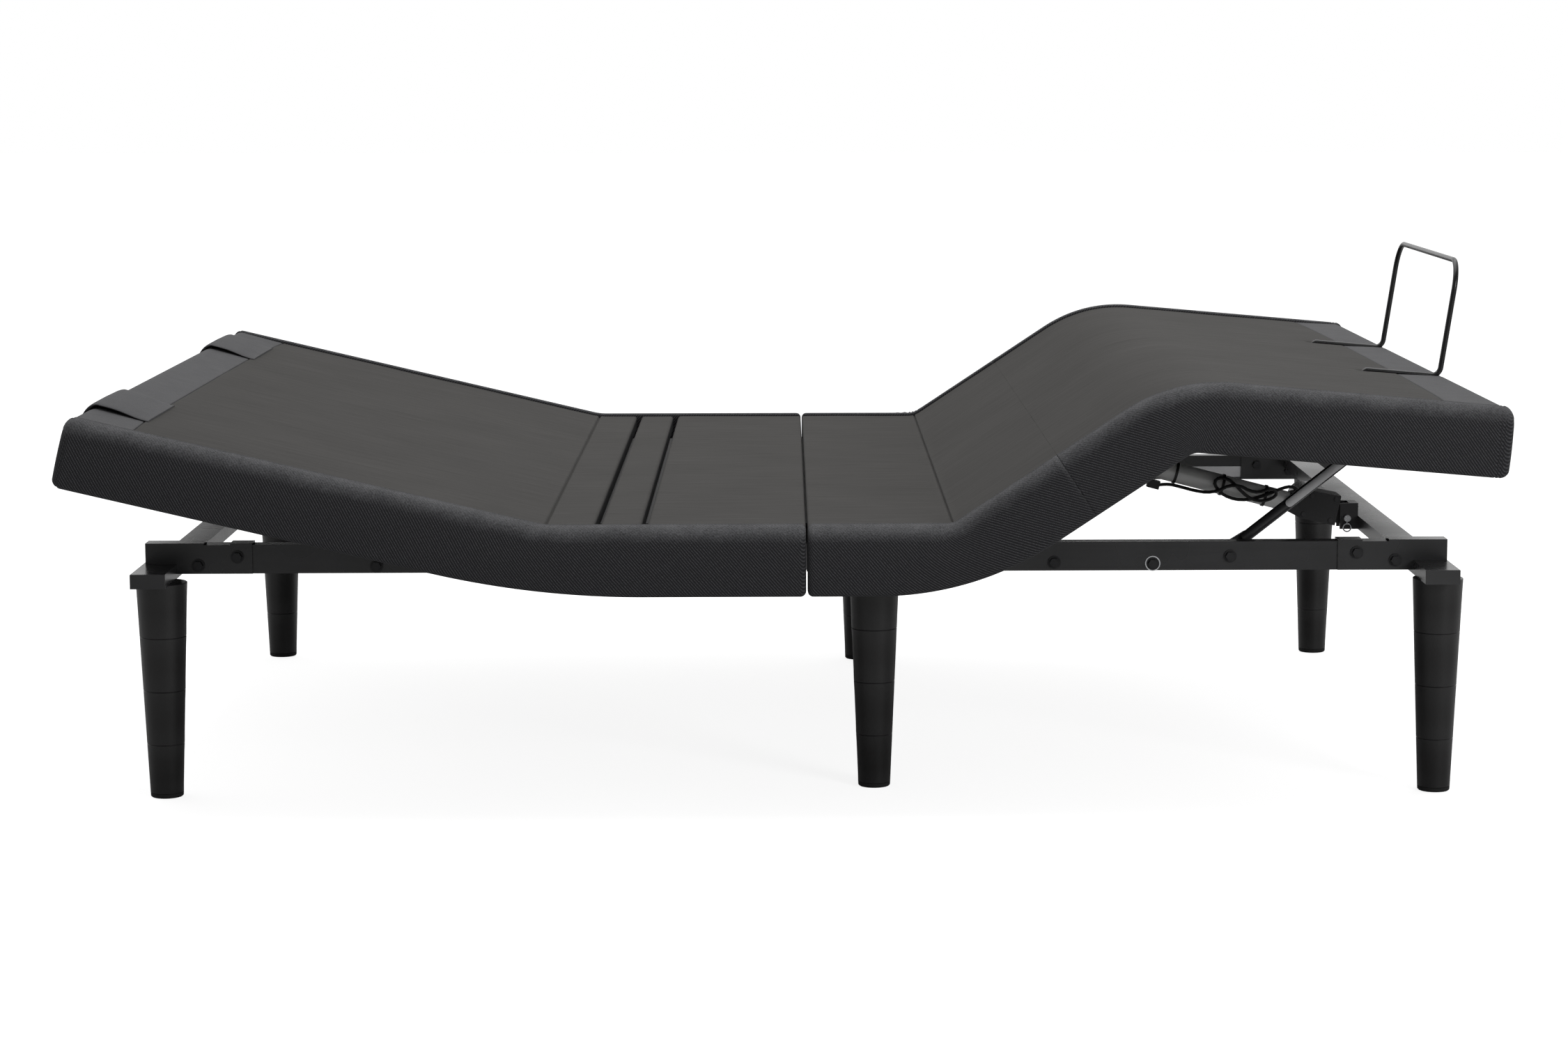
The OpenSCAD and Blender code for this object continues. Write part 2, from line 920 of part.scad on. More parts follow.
// Hollow rod, its tongue and the cross pin that runs in the lever slot
module inner_rod(len) {
    difference() {
        union() {
            translate([len - rod_len, 0, 0])
            rotate([0, 90, 0])
            cylinder(r = rod_r, h = rod_len - tongue_len, $fn = 48);
            y_plate(-6, 6)
            union() {
                translate([len, 0])
                circle(r = 9, $fn = 48);
                translate([len - tongue_len - 4, -9])
                square([tongue_len + 4, 18]);
            }
            y_rod(len, 0, -17, 17, 4);
        }
        translate([len - rod_len - 1, 0, 0])
        rotate([0, 90, 0])
        cylinder(r = 6.4, h = rod_len - tongue_len - 8, $fn = 48);
    }
}

module foot_gearbox() {
    color("#2b2c2d")
    on_foot_act()
    gearbox();
}

module foot_motor() {
    color("#202021")
    on_foot_act()
    motor();
}

module foot_outer_tube() {
    color("#b9bab8")
    on_foot_act()
    outer_tube();
}

// Threaded screw inside the hollow rod, turned by the gears
module lead_screw() {
    translate([gear_u0 + 14, 0, 0])
    rotate([0, 90, 0])
    cylinder(r = 6, h = 190, $fn = 48);
}

module foot_lead_screw() {
    color("silver")
    on_foot_act()
    lead_screw();
}

module foot_inner_rod() {
    color("gainsboro")
    on_foot_act()
    inner_rod(foot_act_len);
}

module head_gearbox() {
    color("#2b2c2d")
    on_head_act()
    gearbox();
}

module head_motor() {
    color("#202021")
    on_head_act()
    motor();
}

module head_outer_tube() {
    color("#b9bab8")
    on_head_act()
    outer_tube();
}

module head_lead_screw() {
    color("silver")
    on_head_act()
    lead_screw();
}

module head_inner_rod() {
    color("gainsboro")
    on_head_act()
    inner_rod(head_act_len);
}

// ---------- motor lead ----------

// Swept tube: one ring of points round each route point, square to the route
function lead_dir(pts, i) = let (a = pts[max(i - 1, 0)], b = pts[min(i + 1, len(pts) - 1)],
    d = b - a) d / norm(d);
function lead_ring(pts, i, r, n) = let (t = lead_dir(pts, i), s = [0, 1, 0],
    w = cross(t, s) / norm(cross(t, s)))
    [for (k = [0:n - 1]) pts[i] + r * (cos(360 * k / n) * s + sin(360 * k / n) * w)];

// Rounds the route by putting two points on every leg, a quarter in from its ends
function soften(p) = [p[0], for (i = [0:len(p) - 2]) each [0.75 * p[i] + 0.25 * p[i + 1],
    0.25 * p[i] + 0.75 * p[i + 1]], p[len(p) - 1]];

// Where the two loops cross, the later turn lies one lead in front of the first. Past the
// loops the lead runs in under the tube.
function lead_y(i) = i < 12 ? -19.2 : i < 20 ? -25 : min(-8, -31 + 7.7 * max(0, i - 25));

module motor_lead() {
    r = 2.5;
    sides = 8;
    route = [for (i = [0:len(lead_route) - 1]) [lead_route[i][0], lead_y(i), lead_route[i][1]]];
    pts = soften(route);
    rings = len(pts);
    color("#171718")
    on_foot_act()
    polyhedron(points = [for (i = [0:rings - 1]) each lead_ring(pts, i, r, sides)],
        faces = concat([[for (k = [0:sides - 1]) k]],
            [[for (k = [sides - 1:-1:0]) (rings - 1) * sides + k]],
            [for (i = [0:rings - 2]) for (k = [0:sides - 1])
                [i * sides + (k + 1) % sides, i * sides + k, (i + 1) * sides + k,
                    (i + 1) * sides + (k + 1) % sides]]));
}

// Ties round the outer tube that hold the loops, and the plug at the end of the lead
module cable_ties() {
    color("#131314")
    on_foot_act()
    box([284, -15, -30], [302, -1, -17.4]);
    color("#131314")
    on_foot_act()
    for (u = [124, 190, 262])
        translate([u, 0, 0])
        difference() {
            rotate([0, 90, 0])
            cylinder(r = tube_r + 1.4, h = 4, $fn = 48);
            translate([-5, 0, 0])
            rotate([0, 90, 0])
            cylinder(r = tube_r + 0.05, h = 20, $fn = 48);
        }
}

rail_head_right();
rail_head_left();
rail_foot_right();
rail_foot_left();
rail_splices();
crossmember_head();
crossmember_foot();
crossmember_mid_head();
crossmember_mid_foot();
saddle_brackets();
outrigger_arms();
arm_end_caps();
leg_top_segments();
leg_upper_segments();
leg_lower_segments();
leg_bottom_segments();
leg_studs();
leg_glides();
frame_bolts();
bolt_washers();
hinge_brackets();
hinge_pins();
clevis_brackets();
clevis_pins();
hairpin_clips();
control_box();
seat_bearers();
seat_board_head();
seat_board_foot();
lumbar_slats();
seat_foam_head();
seat_foam_foot();
head_board();
head_frame();
head_foam();
head_straps();
thigh_board();
thigh_frame();
thigh_foam();
knee_pins();
calf_board();
calf_frame();
calf_foam();
retainer_bar();
thigh_crank();
crank_rollers();
calf_link_right();
calf_link_left();
head_gearbox();
head_motor();
head_outer_tube();
head_lead_screw();
head_inner_rod();
foot_gearbox();
foot_motor();
foot_outer_tube();
foot_lead_screw();
foot_inner_rod();
motor_lead();
cable_ties();
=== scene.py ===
import json
import math
import bpy
import numpy as np
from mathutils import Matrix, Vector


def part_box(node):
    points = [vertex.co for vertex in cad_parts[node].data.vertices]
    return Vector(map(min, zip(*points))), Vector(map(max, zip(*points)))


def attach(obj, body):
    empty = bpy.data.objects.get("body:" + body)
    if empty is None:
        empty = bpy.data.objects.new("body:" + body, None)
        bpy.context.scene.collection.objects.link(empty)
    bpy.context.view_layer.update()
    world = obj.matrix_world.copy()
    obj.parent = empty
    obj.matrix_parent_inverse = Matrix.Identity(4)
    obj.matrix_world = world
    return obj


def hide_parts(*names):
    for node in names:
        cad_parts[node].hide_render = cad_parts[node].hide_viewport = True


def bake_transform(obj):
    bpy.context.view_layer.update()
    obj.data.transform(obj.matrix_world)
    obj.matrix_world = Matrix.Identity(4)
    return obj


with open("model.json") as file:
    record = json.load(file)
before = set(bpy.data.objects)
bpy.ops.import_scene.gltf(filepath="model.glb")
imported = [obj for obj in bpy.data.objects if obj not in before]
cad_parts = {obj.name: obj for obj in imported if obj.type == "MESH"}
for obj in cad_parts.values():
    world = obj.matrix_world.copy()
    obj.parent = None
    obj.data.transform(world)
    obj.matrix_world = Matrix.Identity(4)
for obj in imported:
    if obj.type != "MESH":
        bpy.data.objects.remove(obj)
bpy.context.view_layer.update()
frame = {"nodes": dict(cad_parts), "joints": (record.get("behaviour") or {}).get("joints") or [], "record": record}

# ---------------------------------------------------------------------------
# Camera. Metres and degrees.
# ---------------------------------------------------------------------------


def make_camera():
    """Standing at the sleeper's right-hand side, a little above the deck."""
    data = bpy.data.cameras.new("camera")
    data.sensor_width = 36.0
    data.lens = 79.7
    data.shift_x = -0.0529
    data.shift_y = -0.001
    data.clip_end = 60.0
    camera = bpy.data.objects.new("camera", data)
    camera.location = (-0.0003, -5.3994, 1.0436)
    camera.rotation_euler = (math.pi / 2 - 0.135, 0.0, -0.024)
    bpy.context.scene.collection.objects.link(camera)
    bpy.context.scene.camera = camera


make_camera()

# ---------------------------------------------------------------------------
# Driving dimensions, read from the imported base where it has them
# ---------------------------------------------------------------------------

MM = 0.001
JOINT = {joint["name"]: joint for joint in frame["joints"]}
BACK_PIN = np.array(JOINT["head_lift"]["pos_m"])[[0, 2]]
HIP_PIN = np.array(JOINT["thigh_lift"]["pos_m"])[[0, 2]]
KNEE_PIN = np.array(JOINT["knee"]["pos_m"])[[0, 2]]
BACK_RISE = math.radians(-JOINT["head_lift"]["range_deg"][0])
THIGH_RISE = math.radians(-JOINT["thigh_lift"]["range_deg"][0])
CALF_FALL = math.asin(JOINT["retainer_lift"]["axis"][0])
THIGH_LEN = float(np.linalg.norm(KNEE_PIN - HIP_PIN))
KNEE_FLAT = HIP_PIN + np.array([THIGH_LEN, 0.0])

HALF_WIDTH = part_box("seat_foam_head")[1].y
PAD_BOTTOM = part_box("seat_foam_head")[0].z
PAD_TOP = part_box("seat_foam_head")[1].z
BOARD_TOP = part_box("seat_board_head")[1].z
PAD_THICK = HALF_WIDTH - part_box("seat_board_head")[1].y
HEAD_END = -0.991
FOOT_END = 1.049
SPLIT = 0.030
SLOT_1 = (-0.260, -0.252)
SLOT_2 = (-0.196, -0.188)
MID_THIGH = 0.42
BAND = 0.086
COVER = 4 * MM
CROWN = 3 * MM


def smooth(t):
    """0 before 0, 1 after 1, with an even S between them."""
    t = np.clip(t, 0.0, 1.0)
    return t * t * (3.0 - 2.0 * t)


# Half the length of deck that takes up each fold, at the top of the pads and at the bottom
BACK_FOLD = (0.016, 0.140)
HIP_FOLD = (0.020, 0.115)
KNEE_FOLD = (0.070, 0.030)


def fold(points, pivot, angle, reach, side, flat_z):
    """Folds a flat deck about a pin. What lies past the pin on the given side rises by angle.
    Within reach of the pin each line along the deck is a parabola that touches the straight
    lines on both sides of the fold, so nothing bulges or crosses."""
    down = np.clip((PAD_TOP - flat_z) / (PAD_TOP - PAD_BOTTOM), 0.0, 1.0)
    half = reach[0] + (reach[1] - reach[0]) * down
    d, h = (points[..., 0] - pivot[0]) * side, points[..., 2] - pivot[1]
    c, s = math.cos(angle), math.sin(angle)
    t = np.clip((d + half) / (2 * half), 0.0, 1.0)
    a, b, m = (1 - t) ** 2, t * t, 2 * t * (1 - t)
    x = a * -half + m * -h * math.tan(angle / 2) + b * (c * half - s * h)
    z = a * h + m * h + b * (s * half + c * h)
    x = np.where(d < -half, d, np.where(d > half, c * d - s * h, x))
    z = np.where(d < -half, h, np.where(d > half, s * d + c * h, z))
    return np.stack([pivot[0] + side * x, points[..., 1], pivot[1] + z], -1)


def folded(points):
    """Takes points of the flat deck to the rest pose: the knee first, then hips and back."""
    flat_z = points[..., 2]
    out = fold(points, KNEE_FLAT, -(THIGH_RISE + CALF_FALL), KNEE_FOLD, 1, flat_z)
    out = fold(out, HIP_PIN, THIGH_RISE, HIP_FOLD, 1, flat_z)
    return fold(out, BACK_PIN, BACK_RISE, BACK_FOLD, -1, flat_z)


# ---------------------------------------------------------------------------
# Meshes from grids of points
# ---------------------------------------------------------------------------


def surface(name, grid, uv, loop=False, capped=False, shade_smooth=True):
    """A mesh over a grid of points [rows, columns]. loop joins the last column to the first,
    capped closes the first and last rows. uv holds metres along the two directions and has
    one column more than the grid where it loops."""
    rows, cols = grid.shape[:2]
    width = cols if loop else cols - 1
    r, c = np.meshgrid(np.arange(rows - 1), np.arange(width), indexing="ij")
    nxt = (c + 1) % cols
    quads = np.stack([r * cols + c, (r + 1) * cols + c, (r + 1) * cols + nxt, r * cols + nxt], -1)
    quads = quads.reshape(-1, 4)
    corner_uv = np.stack([uv[r, c], uv[r + 1, c], uv[r + 1, c + 1], uv[r, c + 1]], 2).reshape(-1, 4, 2)
    points = grid.reshape(-1, 3)
    a, b, d = points[quads[:, 0]], points[quads[:, 1]], points[quads[:, 2]]
    inward = np.einsum("ij,ij->i", np.cross(b - a, d - a), (a + d) / 2 - points.mean(0)).sum() < 0
    if inward:
        quads, corner_uv = quads[:, ::-1], corner_uv[:, ::-1]
    faces = quads.tolist()
    if capped:
        first, last = list(range(cols)), list(range((rows - 1) * cols, rows * cols))
        faces.append(first[::-1] if inward else first)
        faces.append(last if inward else last[::-1])
    mesh = bpy.data.meshes.new(name)
    mesh.from_pydata(points.tolist(), [], faces)
    layer = mesh.uv_layers.new(name="weave")
    flat_uv = np.zeros((len(mesh.loops), 2), np.float32)
    flat_uv[: len(quads) * 4] = corner_uv.reshape(-1, 2)
    layer.data.foreach_set("uv", flat_uv.ravel())
    rounded = np.arange(len(mesh.polygons)) < len(quads)
    mesh.polygons.foreach_set("use_smooth", rounded & shade_smooth)
    mesh.update()
    piece = bpy.data.objects.new(name, mesh)
    bpy.context.scene.collection.objects.link(piece)
    return piece


def steps(start, end, pitch, fine=()):
    """Stations from start to end about one pitch apart, with finer ones near each place in
    fine, given as (place, reach, pitch)."""
    stations = [np.linspace(start, end, max(2, int(round((end - start) / pitch)) + 1))]
    for place, reach, small in fine:
        near = np.arange(place - reach, place + reach + small / 2, small)
        stations.append(near[(near > start) & (near < end)])
    merged = np.unique(np.round(np.concatenate(stations), 5))
    keep = np.concatenate([[True], np.diff(merged) > 0.0004])
    keep[-1] = True
    return merged[keep]


def end_inset(x, start, end, radius_start, radius_end):
    """How far the skin draws in near the two ends, so that each end closes in a quarter round."""
    def quarter(gap, radius):
        if radius <= 0:
            return np.zeros_like(gap)
        near = np.clip(radius - gap, 0.0, radius)
        return radius - np.sqrt(np.maximum(radius * radius - near * near, 0.0))
    return quarter(x - start, radius_start) + quarter(end - x, radius_end)


def padded_loop(width, height, radii, bulges, inset, arc=7, side=12):
    """Outline of a stuffed bar: a rectangle with a round at each corner and a bulge along each
    side. Corners run from the outer bottom, up, over the top and down the inner side.
    inset is one number per station; it moves the outline in and tightens the rounds.
    Returns [stations, points, 2], as distance from the outer face and height."""
    inset = np.asarray(inset)[:, None]
    corners = [(0, 0, 1, 1), (0, height, 1, -1), (width, height, -1, -1), (width, 0, -1, 1)]
    turns = [(1.5, 1.0), (1.0, 0.5), (0.5, 0.0), (0.0, -0.5)]
    arcs = []
    for (cx, cy, sx, sy), (a0, a1), radius in zip(corners, turns, radii):
        rad = np.maximum(radius - inset, 0.4 * MM)
        a = np.linspace(a0, a1, arc)[None, :] * math.pi
        x = cx + sx * (inset + rad) + rad * np.cos(a)
        y = cy + sy * (inset + rad) + rad * np.sin(a)
        arcs.append(np.stack([x, y], -1))
    parts = []
    normals = [(-1, 0), (0, 1), (1, 0), (0, -1)]
    for k in range(4):
        parts.append(arcs[k])
        a, b = arcs[k][:, -1:], arcs[(k + 1) % 4][:, :1]
        t = np.linspace(0, 1, side + 2)[None, 1:-1, None]
        line = a + (b - a) * t + bulges[k] * 4 * t * (1 - t) * np.array(normals[k])
        parts.append(line)
    return np.concatenate(parts, 1)


def ring_lengths(loop):
    """Distance round each outline from its first point, with the closing step added."""
    closed = np.concatenate([loop, loop[:, :1]], 1)
    gaps = np.linalg.norm(np.diff(closed, axis=1), axis=-1)
    return np.concatenate([np.zeros((len(loop), 1)), np.cumsum(gaps, 1)], 1)


# ---------------------------------------------------------------------------
# Padded border
# ---------------------------------------------------------------------------


def side_pad(name, side, start, end, round_start, round_end, gather, seams=()):
    """Padded border along one side of the deck, from start to end along the flat deck: the
    padded outline carried along X, drawn in at its ends, with small gathers over the hip fold.
    side is -1 on the sleeper's right and 1 on the left. gather is the gathers' height and
    seams are the places of stitch lines round it."""
    fine = [(start, 0.028, 0.0012 if round_start else 0.01), (end, 0.028, 0.0012 if round_end else 0.01)]
    fine += [(BACK_PIN[0], 0.03, 0.003), (HIP_PIN[0], 0.09, 0.003), (KNEE_FLAT[0], 0.10, 0.004)]
    x = steps(start, end, 0.012, fine)
    inset = end_inset(x, start, end, round_start, round_end)
    for seam in seams:
        inset = inset + 0.9 * MM * np.exp(-(((x - seam) / (1.1 * MM)) ** 2))
    height = PAD_TOP + CROWN - PAD_BOTTOM
    loop = padded_loop(PAD_THICK - 0.3 * MM, height, (9 * MM, 30 * MM, 4 * MM, 3 * MM),
                       (2.2 * MM, 0.2 * MM, 0.0, 0.0), inset)
    lengths = ring_lengths(loop)
    station = x[:, None] + 0 * loop[..., 0]
    inward, up = loop[..., 0], loop[..., 1]
    hip = np.exp(-(((station - HIP_PIN[0] + 0.01) / 0.034) ** 2))
    back = 0.45 * np.exp(-(((station - BACK_PIN[0] + 0.02) / 0.030) ** 2))
    hump = (hip + back) * smooth((up - 0.03) / 0.06) * smooth((0.031 - inward) / 0.012)
    pleat = np.abs(np.sin((station - HIP_PIN[0]) / 0.0040 + 1.3 * np.sin(up / 0.021)))
    rise = gather * hump * (pleat - 0.25)
    points = np.stack([station, side * (HALF_WIDTH - inward + 0.4 * rise), PAD_BOTTOM + up + rise], -1)
    uv = np.stack([np.repeat(x[:, None], lengths.shape[1], 1), lengths], -1)
    return surface(name, folded(points), uv, loop=True, capped=True)


def outline(corners, radii, arc=6):
    """Closed outline through corners (x, z) with a round of the given radius at each: each
    round is the arc that touches the two sides next to its corner. Straight sides are cut
    into steps of about 8 mm."""
    corners = np.array(corners, float)
    pieces = []
    count = len(corners)
    for k in range(count):
        before, here, after = corners[k - 1], corners[k], corners[(k + 1) % count]
        into = (here - before) / np.linalg.norm(here - before)
        out = (after - here) / np.linalg.norm(after - here)
        bend = math.acos(float(np.clip(into @ out, -1, 1)))
        reach = radii[k] * math.tan(bend / 2)
        a, b = here - into * reach, here + out * reach
        side = np.sign(into[0] * out[1] - into[1] * out[0])
        centre = a + radii[k] * side * np.array([-into[1], into[0]])
        start = math.atan2(*(a - centre)[::-1])
        turn = start + side * np.linspace(0, bend, arc)
        pieces.append(centre + radii[k] * np.stack([np.cos(turn), np.sin(turn)], -1))
        pieces[-1][-1] = b
    full = []
    for k in range(count):
        full.append(pieces[k])
        a, b = pieces[k][-1], pieces[(k + 1) % count][0]
        cuts = int(np.linalg.norm(b - a) / 0.008)
        if cuts > 1:
            full.append(a + (b - a) * np.linspace(0, 1, cuts + 1)[1:-1, None])
    return np.concatenate(full)


BOW = 9 * MM
# Where the retainer's prongs enter the calf board along the flat deck
PRONG_X = 0.924
PRONG_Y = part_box("retainer_bar")[1].y - 4 * MM
PRESS_LINES = [(-PRONG_Y, 0.021, 0.003), (PRONG_Y, 0.021, 0.003)]


def pressed(points):
    """Presses the pads down in a soft round trough under each prong of the retainer bar."""
    x, y, z = points[..., 0], points[..., 1], points[..., 2]
    near = np.exp(-(((np.abs(y) - PRONG_Y) / 0.0085) ** 2)) * smooth((x - PRONG_X + 0.012) / 0.008)
    out = points.copy()
    out[..., 2] = z - near * np.maximum(z - BOARD_TOP - 0.7 * MM, 0.0)
    return out


def end_pad(name, end_x, sign):
    """Padded block across one end of the deck with the flat band of the same fabric that runs
    in over the board: one outline in X and Z carried across in Y. The band's inner edge is
    bowed, narrower in the middle. sign is -1 at the head end and 1 at the foot end."""
    deep, lip = PAD_THICK - 1 * MM, BOARD_TOP + 0.3 * MM
    corners = [(0, PAD_BOTTOM + 3 * MM), (0, PAD_TOP + 1 * MM), (BAND, BOARD_TOP + COVER),
               (BAND, lip), (deep, lip), (deep, PAD_BOTTOM + 3 * MM)]
    shape = outline(corners, (9 * MM, 15 * MM, 1.8 * MM, 0.6 * MM, 0.8 * MM, 3 * MM))
    half = HALF_WIDTH - PAD_THICK - 0.4 * MM
    y = steps(-half, half, 0.03, [(-half, 0.006, 0.0012), (half, 0.006, 0.0012)] + PRESS_LINES)
    draw = end_inset(y, -half, half, 4 * MM, 4 * MM)[:, None]
    bow = -BOW * (np.abs(y) / half)[:, None] ** 4 + BOW
    inward, z = shape[None, :, 0] + 0 * y[:, None], shape[None, :, 1] + 0 * y[:, None]
    inward = inward - bow * smooth((inward - 0.04) / (BAND - 0.04))
    z = z - draw * 0.6 * smooth((z - lip) / (3 * MM))
    inward = inward + draw * smooth(1 - inward / 0.01)
    points = pressed(np.stack([end_x - sign * inward, y[:, None] + 0 * z, z], -1))
    lengths = ring_lengths(shape[None])[0]
    uv = np.stack(np.broadcast_arrays(y[:, None], lengths[None, :]), -1)
    return surface(name, folded(points), uv, loop=True, capped=True)


# ---------------------------------------------------------------------------
# Top covers
# ---------------------------------------------------------------------------


def top_cover(name, start, end, round_start, round_end, crease=None, bow_start=0.0, bow_end=0.0):
    """Thin padded cover over the boards from start to end: an upper and a lower sheet that
    meet all round. The upper sheet stands COVER above the boards and falls to the lower one in
    a quarter round at the edges; crease is the place of a sewn line across it."""
    half = HALF_WIDTH - PAD_THICK - 2.2 * MM
    fine = [(start, 0.012, 0.0015), (end, 0.012, 0.0015)]
    fine += [(BACK_PIN[0], 0.03, 0.003), (HIP_PIN[0], 0.04, 0.003), (KNEE_FLAT[0], 0.10, 0.006)]
    if crease is not None:
        fine.append((crease, 0.012, 0.0012))
    fine += [(at, 1.4 * MM, 0.45 * MM) for at, r in ((start, round_start), (end, round_end)) if r == 0.0]
    x = steps(start, end, 0.016, fine)
    y = steps(-half, half, 0.025, [(-half, 0.012, 0.0015), (half, 0.012, 0.0015)] + PRESS_LINES)
    sx, sy = np.meshgrid(x, y, indexing="ij")
    drop = end_inset(sx, start, end, round_start, round_end) + end_inset(sy, -half, half, 4 * MM, 4 * MM)
    lift = np.maximum(COVER + 0.4 * MM - drop, 0.0)
    waves = 0.35 * MM * np.sin(sy * 21.0 + 2.0 * np.sin(sx * 17.0)) * np.sin(sx * 13.0 + sy * 5.0)
    lift = lift + waves * smooth(lift / (3 * MM))
    if crease is not None:
        lift = np.maximum(lift - 4.4 * MM * np.exp(-(((sx - crease) / (2.2 * MM)) ** 2)), 0.15 * MM)
    share = np.abs(sy) / half
    shift = (bow_start * (1 - smooth((sx - start) / 0.05)) + bow_end * smooth((sx - end + 0.05) / 0.05))
    px = sx + shift * share ** 4
    base = BOARD_TOP + 0.2 * MM
    upper = np.stack([px, sy, base + lift], -1)
    lower = np.stack([px, sy, np.full_like(px, base)], -1)
    rows, cols = px.shape
    upper = pressed(upper)
    top_ids = np.arange(rows * cols).reshape(rows, cols)
    low_ids = top_ids + rows * cols
    edge = np.zeros((rows, cols), bool)
    edge[[0, -1]] = True
    edge[:, [0, -1]] = True
    low_ids = np.where(edge, top_ids, low_ids)
    upper[edge, 2] = base

    def quads(ids):
        return np.stack([ids[:-1, :-1], ids[1:, :-1], ids[1:, 1:], ids[:-1, 1:]], -1).reshape(-1, 4)

    faces = np.concatenate([quads(top_ids), quads(low_ids)[:, ::-1]])
    points = folded(np.concatenate([upper.reshape(-1, 3), lower.reshape(-1, 3)]))
    used, flat = np.unique(faces, return_inverse=True)
    flat = flat.reshape(-1, 4)
    mesh = bpy.data.meshes.new(name)
    mesh.from_pydata(points[used].tolist(), [], flat.tolist())
    place = np.concatenate([np.stack([sx, sy], -1).reshape(-1, 2)] * 2)
    layer = mesh.uv_layers.new(name="weave")
    layer.data.foreach_set("uv", place[faces.ravel()].astype(np.float32).ravel())
    mesh.polygons.foreach_set("use_smooth", np.ones(len(mesh.polygons), bool))
    mesh.update()
    piece = bpy.data.objects.new(name, mesh)
    bpy.context.scene.collection.objects.link(piece)
    return piece


# ---------------------------------------------------------------------------
# Straps at the head end
# ---------------------------------------------------------------------------


def strap(name, side):
    """Doubled fabric strap over the head end band. Its middle line rises off the band in a half
    wave, comes over the end in a round and goes down the end face; the ribbon is that line
    carried across in Y with a thin rounded edge."""
    t = np.linspace(0.0, 1.0, 61)
    inner, run = HEAD_END + BAND + 0.001, BAND + 0.001
    over = 0.74
    across = np.clip(t / over, 0, 1)
    down = np.clip((t - over) / (1 - over), 0, 1)
    line_x = inner - (run - 0.013) * across - 0.018 * np.sin(down * math.pi / 2)
    line_z = BOARD_TOP + COVER + 1.4 * MM + 8 * MM * np.sin(smooth(across) * math.pi / 2)
    line_z = line_z - (0.006 + 0.030 * down) * down
    line = np.stack([line_x, line_z], -1)
    along = np.gradient(line, axis=0)
    along /= np.linalg.norm(along, axis=1)[:, None]
    normal = np.stack([along[:, 1], -along[:, 0]], -1)
    normal *= np.sign(normal[:1, 1])
    half, mid, thick = 0.106, side * 0.487, 1.8 * MM
    a = np.linspace(0, 2 * math.pi, 45)[:-1]
    wide = np.sign(np.cos(a)) * np.abs(np.cos(a)) ** 0.16
    high = np.sign(np.sin(a)) * np.abs(np.sin(a)) ** 0.8
    y = mid + half * wide[None, :] + 0 * t[:, None]
    sag = 1.4 * MM * (wide[None, :] ** 2) * np.sin(t * math.pi)[:, None]
    x = line[:, :1] + normal[:, :1] * (thick * high[None, :] - sag)
    z = line[:, 1:] + normal[:, 1:] * (thick * high[None, :] - sag)
    points = np.stack([x, y, z], -1)
    length = np.concatenate([[0], np.cumsum(np.linalg.norm(np.diff(line, axis=0), axis=1))])
    uv = np.stack(np.broadcast_arrays(length[:, None], np.append(half * wide, half)[None, :]), -1)
    return surface(name, folded(points), uv, loop=True, capped=True)


# ---------------------------------------------------------------------------
# Node groups and materials
# ---------------------------------------------------------------------------


def new_group(name, inputs, outputs):
    """Empty shader node group; inputs and outputs are (name, socket type, default)."""
    tree = bpy.data.node_groups.new(name, "ShaderNodeTree")
    for label, kind, default in inputs:
        socket = tree.interface.new_socket(name=label, in_out="INPUT", socket_type=kind)
        if default is not None:
            socket.default_value = default
    for label, kind in outputs:
        tree.interface.new_socket(name=label, in_out="OUTPUT", socket_type=kind)
    return tree, tree.nodes.new("NodeGroupInput"), tree.nodes.new("NodeGroupOutput")


def maths(tree, operation, a, b=None, clamp=False):
    """One Math node. a and b are sockets or numbers."""
    node = tree.nodes.new("ShaderNodeMath")
    node.operation = operation
    node.use_clamp = clamp
    for socket, value in zip(node.inputs, (a, b)):
        if value is None:
            continue
        if isinstance(value, (int, float)):
            socket.default_value = value
        else:
            tree.links.new(value, socket)
    return node.outputs[0]


def noise(tree, vector, scale, detail=2.0, roughness=0.5, kind="Fac"):
    """One Noise Texture node on a vector socket."""
    node = tree.nodes.new("ShaderNodeTexNoise")
    node.inputs["Detail"].default_value = detail
    node.inputs["Roughness"].default_value = roughness
    if isinstance(scale, (int, float)):
        node.inputs["Scale"].default_value = scale
    else:
        tree.links.new(scale, node.inputs["Scale"])
    tree.links.new(vector, node.inputs["Vector"])
    return node.outputs[kind]


def stretched(tree, vector, scale):
    """Vector times a fixed scale on each axis."""
    node = tree.nodes.new("ShaderNodeVectorMath")
    node.operation = "MULTIPLY"
    tree.links.new(vector, node.inputs[0])
    node.inputs[1].default_value = scale
    return node.outputs[0]


def map_range(tree, value, low, high, out_low=0.0, out_high=1.0):
    """One Map Range node, clamped."""
    node = tree.nodes.new("ShaderNodeMapRange")
    tree.links.new(value, node.inputs["Value"])
    for label, number in (("From Min", low), ("From Max", high), ("To Min", out_low), ("To Max", out_high)):
        node.inputs[label].default_value = number
    return node.outputs["Result"]


